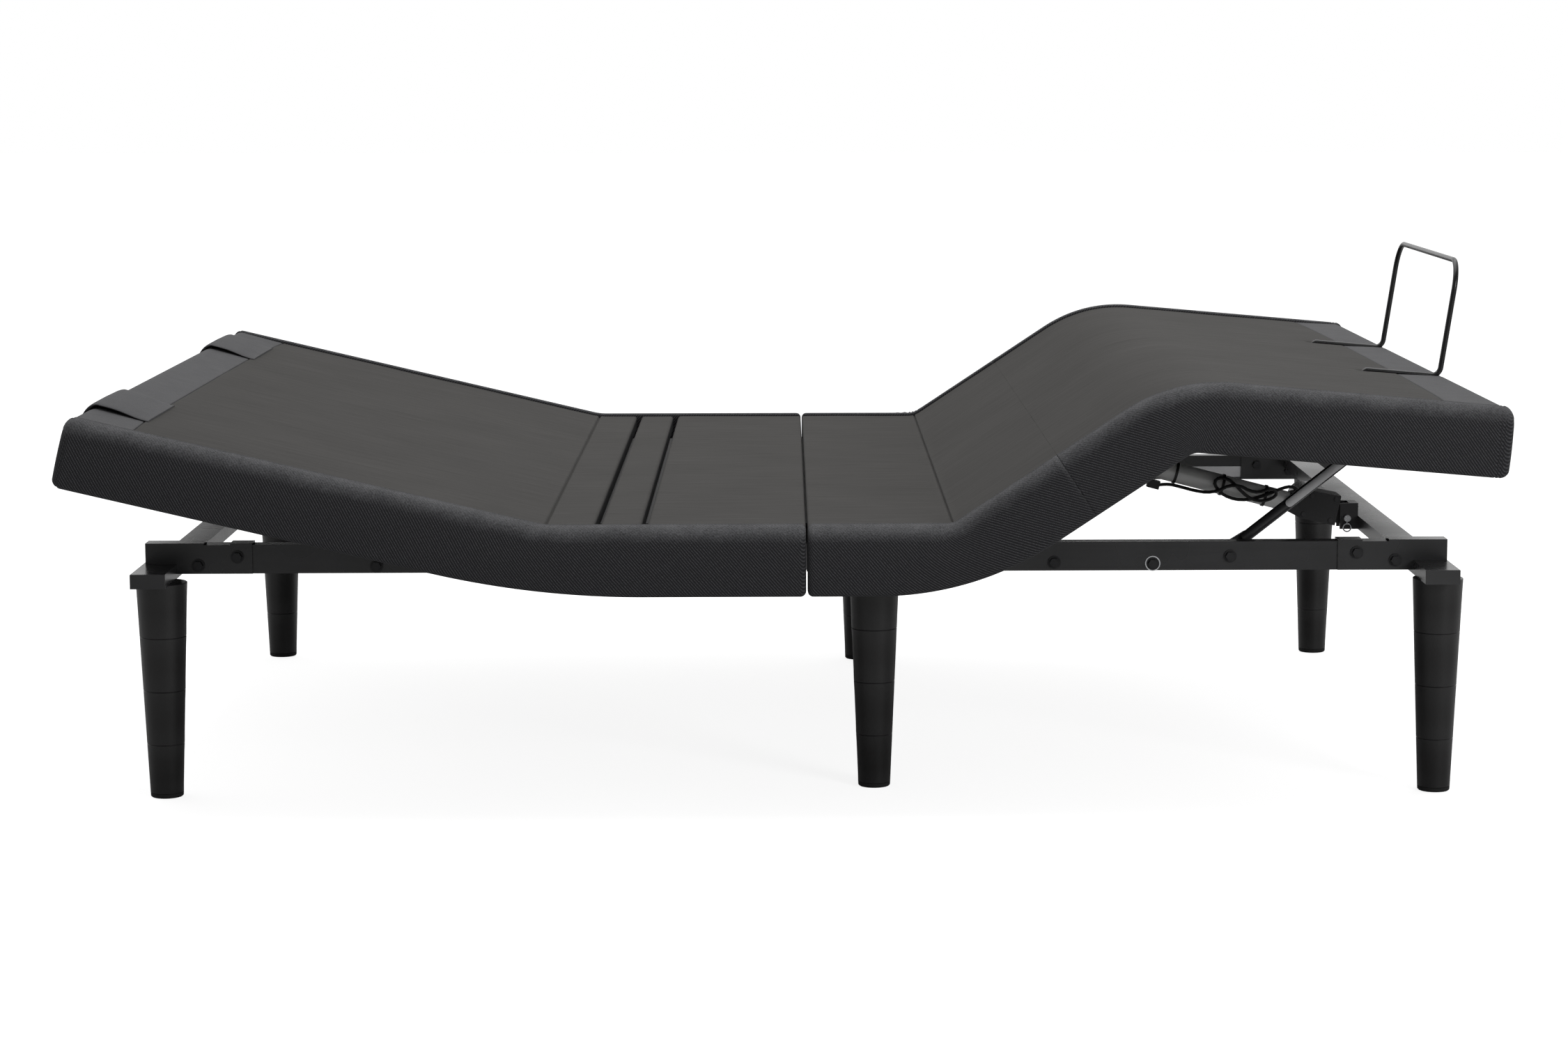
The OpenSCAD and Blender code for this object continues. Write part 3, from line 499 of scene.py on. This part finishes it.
def twill_group():
    """Diagonal weave in UV metres: slanted ridges broken into short floats, with a little
    unevenness. Ridge is the height of the yarn, Speck a mask of the light yarn."""
    tree, inp, out = new_group("twill_weave", [("Pitch", "NodeSocketFloat", 0.0044)],
                               [("Ridge", "NodeSocketFloat"), ("Speck", "NodeSocketFloat")])
    uv = tree.nodes.new("ShaderNodeUVMap")
    uv.uv_map = "weave"
    wobble = noise(tree, uv.outputs[0], 160.0, 1.0)
    split = tree.nodes.new("ShaderNodeSeparateXYZ")
    tree.links.new(uv.outputs[0], split.inputs[0])
    turns = maths(tree, "DIVIDE", 2 * math.pi, inp.outputs["Pitch"])
    slant = maths(tree, "ADD", split.outputs[0], maths(tree, "MULTIPLY", split.outputs[1], 0.86))
    slant = maths(tree, "ADD", slant, maths(tree, "MULTIPLY", wobble, 0.0011))
    ridge = maths(tree, "SINE", maths(tree, "MULTIPLY", slant, turns))
    cross = maths(tree, "SUBTRACT", split.outputs[0], maths(tree, "MULTIPLY", split.outputs[1], 1.7))
    floats = maths(tree, "SINE", maths(tree, "MULTIPLY", maths(tree, "MULTIPLY", cross, turns), 1.6))
    height = maths(tree, "ADD", maths(tree, "MULTIPLY", ridge, 0.65), maths(tree, "MULTIPLY", floats, 0.35))
    yarn = noise(tree, uv.outputs[0], 900.0, 1.0)
    speck = maths(tree, "MULTIPLY", map_range(tree, height, 0.1, 0.95), map_range(tree, yarn, 0.38, 0.62))
    tree.links.new(map_range(tree, height, -1.0, 1.0), out.inputs["Ridge"])
    tree.links.new(speck, out.inputs["Speck"])
    return tree


def heather_group():
    """Mixed light and dark fibres: fine noise over a slower one. Fac is 0 to 1."""
    tree, inp, out = new_group("heather", [("Fineness", "NodeSocketFloat", 420.0)],
                               [("Fac", "NodeSocketFloat")])
    coords = tree.nodes.new("ShaderNodeTexCoord")
    fine = noise(tree, coords.outputs["Object"], inp.outputs["Fineness"], 3.0, 0.7)
    slow = noise(tree, coords.outputs["Object"], 38.0, 2.0, 0.5)
    mixed = maths(tree, "ADD", maths(tree, "MULTIPLY", fine, 0.75), maths(tree, "MULTIPLY", slow, 0.25))
    tree.links.new(map_range(tree, mixed, 0.33, 0.67), out.inputs["Fac"])
    return tree


def brushed_group():
    """Brushed knit of the top cover in UV metres: long faint streaks along the bed, soft
    blotches and a fine nap. Tone is 0 to 1, Height is for a bump."""
    tree, inp, out = new_group("brushed_knit", [("Strength", "NodeSocketFloat", 1.0)],
                               [("Tone", "NodeSocketFloat"), ("Height", "NodeSocketFloat")])
    uv = tree.nodes.new("ShaderNodeUVMap")
    uv.uv_map = "weave"
    streak = noise(tree, stretched(tree, uv.outputs[0], (9.0, 62.0, 1.0)), 1.0, 4.0, 0.6)
    crease = noise(tree, stretched(tree, uv.outputs[0], (14.0, 44.0, 1.0)), 1.0, 2.0, 0.5)
    blotch = noise(tree, uv.outputs[0], 5.0, 2.0)
    nap = noise(tree, uv.outputs[0], 700.0, 2.0, 0.7)
    tone = maths(tree, "ADD", maths(tree, "MULTIPLY", streak, 0.5), maths(tree, "MULTIPLY", blotch, 0.3))
    tone = maths(tree, "ADD", tone, maths(tree, "MULTIPLY", nap, 0.2))
    ridge = maths(tree, "POWER", map_range(tree, crease, 0.5, 0.78), 2.0)
    height = maths(tree, "ADD", maths(tree, "MULTIPLY", ridge, 0.8), maths(tree, "MULTIPLY", nap, 0.12))
    height = maths(tree, "ADD", height, maths(tree, "MULTIPLY", streak, 0.35))
    tree.links.new(map_range(tree, tone, 0.3, 0.7), out.inputs["Tone"])
    tree.links.new(maths(tree, "MULTIPLY", height, inp.outputs["Strength"]), out.inputs["Height"])
    return tree


def coat_group():
    """Powder coat or moulded skin: a fine pebble for the bump, a slow cloud for the roughness
    and a pale mask on sharp outer edges."""
    tree, inp, out = new_group("coated_skin", [("Grain", "NodeSocketFloat", 900.0)],
                               [("Pebble", "NodeSocketFloat"), ("Cloud", "NodeSocketFloat"),
                                ("Edge", "NodeSocketFloat")])
    coords = tree.nodes.new("ShaderNodeTexCoord")
    pebble = noise(tree, coords.outputs["Object"], inp.outputs["Grain"], 2.0, 0.6)
    cloud = noise(tree, coords.outputs["Object"], 9.0, 2.0, 0.5)
    geometry = tree.nodes.new("ShaderNodeNewGeometry")
    edge = map_range(tree, geometry.outputs["Pointiness"], 0.52, 0.60)
    tree.links.new(pebble, out.inputs["Pebble"])
    tree.links.new(map_range(tree, cloud, 0.3, 0.7), out.inputs["Cloud"])
    tree.links.new(maths(tree, "MULTIPLY", edge, cloud), out.inputs["Edge"])
    return tree


TWILL = twill_group()
HEATHER = heather_group()
BRUSHED = brushed_group()
COAT = coat_group()


def place(tree, group, **values):
    """One use of a node group with its own input values."""
    node = tree.nodes.new("ShaderNodeGroup")
    node.node_tree = group
    for label, value in values.items():
        node.inputs[label].default_value = value
    return node


def new_material(name, roughness, metallic=0.0, **extra):
    """Material with one Principled BSDF. extra sets further sockets by name."""
    material = bpy.data.materials.new(name)
    material.use_nodes = True
    shader = material.node_tree.nodes["Principled BSDF"]
    shader.inputs["Roughness"].default_value = roughness
    shader.inputs["Metallic"].default_value = metallic
    for label, value in extra.items():
        shader.inputs[label.replace("_", " ")].default_value = value
    return material, material.node_tree, shader


def mixed(tree, fac, dark, light):
    """Colour between dark and light by fac; both are linear (r, g, b) or sockets."""
    node = tree.nodes.new("ShaderNodeMix")
    node.data_type = "RGBA"
    tree.links.new(fac, node.inputs["Factor"])
    for label, value in (("A", dark), ("B", light)):
        socket = [s for s in node.inputs if s.name == label and s.type == "RGBA"][0]
        if isinstance(value, tuple):
            socket.default_value = (*value, 1.0)
        else:
            tree.links.new(value, socket)
    return [s for s in node.outputs if s.type == "RGBA"][0]


def bump(tree, shader, height, strength, distance):
    """Bump node from a height socket into the shader's normal."""
    node = tree.nodes.new("ShaderNodeBump")
    node.inputs["Strength"].default_value = strength
    node.inputs["Distance"].default_value = distance
    tree.links.new(height, node.inputs["Height"])
    tree.links.new(node.outputs[0], shader.inputs["Normal"])


def twill_material():
    """Blue-black twill of the border. Where it faces up it is paler and heathered: the heather is the cloth's
    mixed fibres, the paler tone is painted light from above.
    """
    material, tree, shader = new_material("border_twill", 0.85, Sheen_Weight=0.06, Sheen_Roughness=0.45,
                                          Specular_IOR_Level=0.15)
    weave = place(tree, TWILL)
    heather = place(tree, HEATHER)
    dark = mixed(tree, weave.outputs["Ridge"], (0.015, 0.015, 0.0165), (0.050, 0.050, 0.054))
    specked = mixed(tree, weave.outputs["Speck"], dark, (0.15, 0.15, 0.157))
    # Painted top light: the paler heathered tone shown where the cloth faces up
    pale = mixed(tree, heather.outputs["Fac"], (0.048, 0.048, 0.051), (0.135, 0.135, 0.141))
    geometry = tree.nodes.new("ShaderNodeNewGeometry")
    facing = tree.nodes.new("ShaderNodeVectorMath")
    facing.operation = "DOT_PRODUCT"
    tree.links.new(geometry.outputs["Normal"], facing.inputs[0])
    facing.inputs[1].default_value = (0.0, 0.0, 1.0)
    uneven = maths(tree, "MULTIPLY", maths(tree, "SUBTRACT", heather.outputs["Fac"], 0.5), 0.25)
    # Mask of the painted top light: how far the normal faces world up, its edge broken by the heather
    up = map_range(tree, maths(tree, "ADD", facing.outputs["Value"], uneven), 0.25, 0.75)
    tree.links.new(mixed(tree, up, specked, pale), shader.inputs["Base Color"])
    fuzz = maths(tree, "MULTIPLY", heather.outputs["Fac"], 0.4)
    height = maths(tree, "ADD", weave.outputs["Ridge"], fuzz)
    bump(tree, shader, height, 0.55, 0.0006)
    return material


def band_material():
    """Smooth side of the same cloth on the end bands and straps."""
    material, tree, shader = new_material("band_cloth", 0.8, Sheen_Weight=0.05, Sheen_Roughness=0.4,
                                          Specular_IOR_Level=0.15)
    heather = place(tree, HEATHER, Fineness=520.0)
    tone = mixed(tree, heather.outputs["Fac"], (0.054, 0.054, 0.057), (0.084, 0.084, 0.088))
    tree.links.new(tone, shader.inputs["Base Color"])
    bump(tree, shader, heather.outputs["Fac"], 0.3, 0.0003)
    return material


def top_material():
    """Warm charcoal brushed knit of the deck's top."""
    material, tree, shader = new_material("top_knit", 0.9, Sheen_Weight=0.05, Sheen_Roughness=0.5,
                                          Specular_IOR_Level=0.1)
    knit = place(tree, BRUSHED)
    tone = mixed(tree, knit.outputs["Tone"], (0.034, 0.0322, 0.0303), (0.054, 0.0515, 0.0487))
    tree.links.new(tone, shader.inputs["Base Color"])
    bump(tree, shader, knit.outputs["Height"], 0.5, 0.0011)
    return material


def coated_material(name, colour, roughness, edge_colour, grain=900.0, bumpy=0.25, metallic=0.0, **extra):
    """Powder-coated steel or moulded plastic with worn edges and an uneven gloss."""
    material, tree, shader = new_material(name, roughness, metallic, **extra)
    skin = place(tree, COAT, Grain=grain)
    cloud = skin.outputs["Cloud"]
    shade = mixed(tree, cloud, tuple(0.9 * c for c in colour), tuple(1.1 * c for c in colour))
    tree.links.new(mixed(tree, skin.outputs["Edge"], shade, edge_colour), shader.inputs["Base Color"])
    rough = map_range(tree, cloud, 0.0, 1.0, roughness - 0.015, roughness + 0.02)
    tree.links.new(rough, shader.inputs["Roughness"])
    bump(tree, shader, skin.outputs["Pebble"], bumpy, 0.00025)
    return material


def turned_material(name, colour, roughness, spread=0.06):
    """Bare or plated metal with fine lines round it."""
    material, tree, shader = new_material(name, roughness, 1.0)
    coords = tree.nodes.new("ShaderNodeTexCoord")
    lines = noise(tree, stretched(tree, coords.outputs["Object"], (900.0, 60.0, 900.0)), 1.0, 2.0, 0.6)
    cloud = noise(tree, coords.outputs["Object"], 25.0, 3.0, 0.6)
    shade = mixed(tree, cloud, tuple(0.85 * c for c in colour), tuple(min(1.0, 1.12 * c) for c in colour))
    tree.links.new(shade, shader.inputs["Base Color"])
    rough = map_range(tree, lines, 0.3, 0.7, max(roughness - spread, 0.02), roughness + spread)
    tree.links.new(rough, shader.inputs["Roughness"])
    bump(tree, shader, lines, 0.12, 0.0001)
    return material


def board_material():
    """Dark felt stapled round the boards, seen from below and in the slots."""
    material, tree, shader = new_material("board_felt", 0.95, Specular_IOR_Level=0.15)
    heather = place(tree, HEATHER, Fineness=300.0)
    tone = mixed(tree, heather.outputs["Fac"], (0.010, 0.010, 0.011), (0.022, 0.022, 0.023))
    tree.links.new(tone, shader.inputs["Base Color"])
    bump(tree, shader, heather.outputs["Fac"], 0.4, 0.0005)
    return material


BLACK = (0.0075, 0.0075, 0.008)
WORN = (0.05, 0.05, 0.052)
MATERIAL = {
    "frame_steel": coated_material("frame_black", BLACK, 0.27, WORN, bumpy=0.12),
    "deck_steel": coated_material("deck_frame_black", BLACK, 0.5, WORN, Specular_IOR_Level=0.2),
    "leg_steel": coated_material("leg_black", (0.009, 0.0085, 0.0085), 0.36, WORN, grain=1300.0),
    "plain_steel": turned_material("plain_steel", (0.42, 0.42, 0.43), 0.38),
    "zinc_steel": turned_material("zinc_plate", (0.72, 0.73, 0.75), 0.28),
    "black_bolts": coated_material("black_oxide", (0.012, 0.012, 0.013), 0.4, WORN, metallic=0.6),
    "rod_steel": turned_material("polished_rod", (0.80, 0.81, 0.82), 0.14, 0.04),
    "tube_alu": coated_material("grey_tube", (0.74, 0.74, 0.73), 0.34, (0.8, 0.8, 0.8), 700.0, 0.1, 0.15),
    "gear_plastic": coated_material("gear_housing", (0.014, 0.014, 0.015), 0.5, WORN, 500.0, 0.5),
    "motor_can": coated_material("motor_gloss", (0.008, 0.008, 0.0085), 0.22, WORN),
    "box_plastic": coated_material("box_plastic", (0.012, 0.012, 0.012), 0.55, WORN, 420.0, 0.6),
    "cap_plastic": coated_material("cap_plastic", (0.022, 0.022, 0.023), 0.5, WORN, 500.0, 0.5),
    "glide_rubber": coated_material("glide_rubber", (0.009, 0.009, 0.009), 0.8, (0.02, 0.02, 0.02), 600.0),
    "lead_rubber": coated_material("lead_rubber", (0.007, 0.007, 0.007), 0.45, (0.02, 0.02, 0.02), 600.0),
    "tie_plastic": coated_material("tie_plastic", (0.008, 0.008, 0.008), 0.35, (0.02, 0.02, 0.02), 600.0),
    "roller_plastic": coated_material("roller_nylon", (0.62, 0.61, 0.57), 0.45, (0.7, 0.7, 0.7), 500.0),
    "deck_board": board_material(),
    "side_fabric": twill_material(),
    "strap_fabric": band_material(),
}
TOP_KNIT = top_material()

for entry in frame["record"]["subparts"]:
    mesh = frame["nodes"][entry["node"]].data
    mesh.materials.clear()
    mesh.materials.append(MATERIAL[entry["material_slot"]])

# ---------------------------------------------------------------------------
# Soft goods: some ride on their section, the rest are built folded over their hinges in the rest pose
# ---------------------------------------------------------------------------


def upholster(piece, material):
    """Gives a padded piece its cloth."""
    piece.data.materials.append(material)
    return piece


CLOTH = MATERIAL["side_fabric"]
BAND_CLOTH = MATERIAL["strap_fabric"]
# Gap to each side of the split, and overlap of two pieces where the cloth runs on unbroken
GAP = 0.9 * MM
LAP = 0.5 * MM

for label, side, gather in (("right", -1, 0.5 * MM), ("left", 1, 3.0 * MM)):
    pad = side_pad(f"border_back_{label}", side, HEAD_END, SPLIT - GAP, 15 * MM, 8 * MM, 0.0,
                   (HEAD_END + 0.009,))
    upholster(pad, CLOTH)
    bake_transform(pad)
    pad = side_pad(f"border_hip_{label}", side, SPLIT + GAP, MID_THIGH + LAP, 8 * MM, 0.0, gather)
    upholster(pad, CLOTH)
    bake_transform(pad)
    pad = side_pad(f"border_leg_{label}", side, MID_THIGH - LAP, FOOT_END, 0.0, 15 * MM, 0.0,
                   (FOOT_END - 0.015, FOOT_END - 0.020))
    upholster(pad, CLOTH)
    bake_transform(pad)

head_pad = upholster(end_pad("border_head_end", HEAD_END, -1), BAND_CLOTH)
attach(head_pad, "back_section")
foot_pad = upholster(end_pad("border_foot_end", FOOT_END, 1), BAND_CLOTH)
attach(foot_pad, "calf_section")
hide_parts("head_foam", "seat_foam_head")
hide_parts("seat_foam_foot", "thigh_foam")
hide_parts("calf_foam")

covers = [
    ("top_back", HEAD_END + BAND - BOW, SLOT_1[0], 4 * MM, 5 * MM, BACK_PIN[0], BOW, 0.0),
    ("top_lumbar", SLOT_1[1], SLOT_2[0], 5 * MM, 5 * MM, None, 0.0, 0.0),
    ("top_seat", SLOT_2[1], SPLIT - GAP, 5 * MM, 4 * MM, None, 0.0, 0.0),
    ("top_hip", SPLIT + GAP, MID_THIGH + LAP, 4 * MM, 0.0, HIP_PIN[0], 0.0, 0.0),
    ("top_leg", MID_THIGH - LAP, FOOT_END - BAND + BOW, 0.0, 4 * MM, None, 0.0, -BOW),
]
for name, start, end, r0, r1, crease, bow0, bow1 in covers:
    upholster(top_cover(name, start, end, r0, r1, crease, bow0, bow1), TOP_KNIT)
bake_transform(bpy.data.objects["top_back"])
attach(bpy.data.objects["top_lumbar"], "base")
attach(bpy.data.objects["top_seat"], "base")
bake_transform(bpy.data.objects["top_hip"])
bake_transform(bpy.data.objects["top_leg"])

for label, side in (("right", -1), ("left", 1)):
    piece = strap(f"head_strap_{label}", side)
    piece.data.materials.append(BAND_CLOTH)
    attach(piece, "back_section")
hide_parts("head_straps")

# ---------------------------------------------------------------------------
# Blank labels
# ---------------------------------------------------------------------------


def label_material():
    """Silver foil label, faintly creased."""
    material, tree, shader = new_material("label_foil", 0.4)
    coords = tree.nodes.new("ShaderNodeTexCoord")
    cloud = noise(tree, coords.outputs["Object"], 60.0, 3.0, 0.6)
    tree.links.new(mixed(tree, cloud, (0.58, 0.58, 0.59), (0.72, 0.72, 0.73)), shader.inputs["Base Color"])
    bump(tree, shader, cloud, 0.1, 0.0003)
    return material


LINK_SLOPE = 38.17  # degrees above level, of the link's round bar at rest


def link_label():
    """Label wrapped on the near side of the right calf link: a strip of a cylinder round the
    link's line, narrowed in a half circle at both ends."""
    pin = np.array(JOINT["link_right_swing"]["pos_m"])[[0, 2]]
    slope = math.radians(LINK_SLOPE)
    along = np.array([math.cos(slope), math.sin(slope)])
    up = np.array([-math.sin(slope), math.cos(slope)])
    s = np.concatenate([np.linspace(0.108, 0.114, 9), np.linspace(0.118, 0.222, 12),
                        np.linspace(0.226, 0.232, 9)])
    gap = np.clip(np.minimum(s - 0.108, 0.232 - s) / 0.006, 0.0, 1.0)
    half = math.radians(44) * np.maximum(np.sqrt(1 - (1 - gap) ** 2), 0.02)
    a = math.radians(14) + half[:, None] * np.linspace(-1, 1, 17)[None, :]
    radius = 8.25 * MM
    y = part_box("calf_link_right")[0].y + 4 * MM - radius * np.cos(a)
    lift = radius * np.sin(a)
    x = pin[0] + s[:, None] * along[0] + lift * up[0]
    z = pin[1] + s[:, None] * along[1] + lift * up[1]
    uv = np.stack(np.broadcast_arrays(s[:, None], radius * a), -1)
    return surface("link_label", np.stack([x, y, z], -1), uv)


def rail_label():
    """Flat label on the inner face of the left foot rail: a grid 0.2 mm off the steel."""
    x, z = np.linspace(0.690, 0.792, 18), np.linspace(0.315, 0.333, 6)
    gx, gz = np.meshgrid(x, z, indexing="ij")
    y = np.full_like(gx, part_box("rail_foot_left")[0].y - 0.2 * MM)
    return surface("rail_label", np.stack([gx, y, gz], -1), np.stack([gx, gz], -1))


FOIL = label_material()
for piece, body in ((link_label(), "link_right"), (rail_label(), "base")):
    piece.data.materials.append(FOIL)
    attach(piece, body)

# ---------------------------------------------------------------------------
# Floor and light
# ---------------------------------------------------------------------------


def make_surround():
    """White to the eye. As light it is bright behind the bed and overhead, dim at the front."""
    world = bpy.data.worlds.new("surround")
    bpy.context.scene.world = world
    world.use_nodes = True
    tree = world.node_tree
    sky = tree.nodes["Background"]
    coords = tree.nodes.new("ShaderNodeTexCoord")
    split = tree.nodes.new("ShaderNodeSeparateXYZ")
    tree.links.new(coords.outputs["Generated"], split.inputs[0])
    back = map_range(tree, split.outputs[1], -0.3, 0.8, FRONT_LIGHT, 1.0)
    path = tree.nodes.new("ShaderNodeLightPath")
    seen = maths(tree, "MAXIMUM", path.outputs["Is Camera Ray"], back)
    tree.links.new(seen, sky.inputs["Strength"])
    sky.inputs["Color"].default_value = (1.0, 1.0, 1.0, 1.0)


def make_floor():
    """White floor that runs out of sight. To the eye it glows a little, which keeps the
    shadow under the bed pale."""
    bpy.ops.mesh.primitive_plane_add(size=60.0, location=(0.0, 0.0, -0.0005))
    floor = bpy.context.object
    floor.name = "floor"
    material, tree, shader = new_material("pale_floor", 0.7, Specular_IOR_Level=0.0)
    shader.inputs["Base Color"].default_value = (0.55, 0.55, 0.55, 1.0)
    shader.inputs["Emission Color"].default_value = (1.0, 1.0, 1.0, 1.0)
    path = tree.nodes.new("ShaderNodeLightPath")
    glow = maths(tree, "MULTIPLY", path.outputs["Is Camera Ray"], FLOOR_GLOW)
    tree.links.new(glow, shader.inputs["Emission Strength"])
    floor.data.materials.append(material)


def make_lights():
    """A wide soft light overhead and a smaller one at the front, towards the foot end."""
    lights = [("top_light", (0.2, 0.6, 3.0), (0.0, 0.0, 0.0), 3.4, 62.0),
              ("front_light", (3.2, -4.2, 1.7), (math.radians(74), 0.0, math.radians(38)), 1.6, 58.0)]
    for name, location, turn, size, power in lights:
        data = bpy.data.lights.new(name, "AREA")
        data.size = size
        data.energy = power
        light = bpy.data.objects.new(name, data)
        light.location = location
        light.rotation_euler = turn
        bpy.context.scene.collection.objects.link(light)


FRONT_LIGHT = 0.19
FLOOR_GLOW = 0.86
make_surround()
make_floor()
make_lights()
bpy.context.scene.view_settings.view_transform = "Standard"
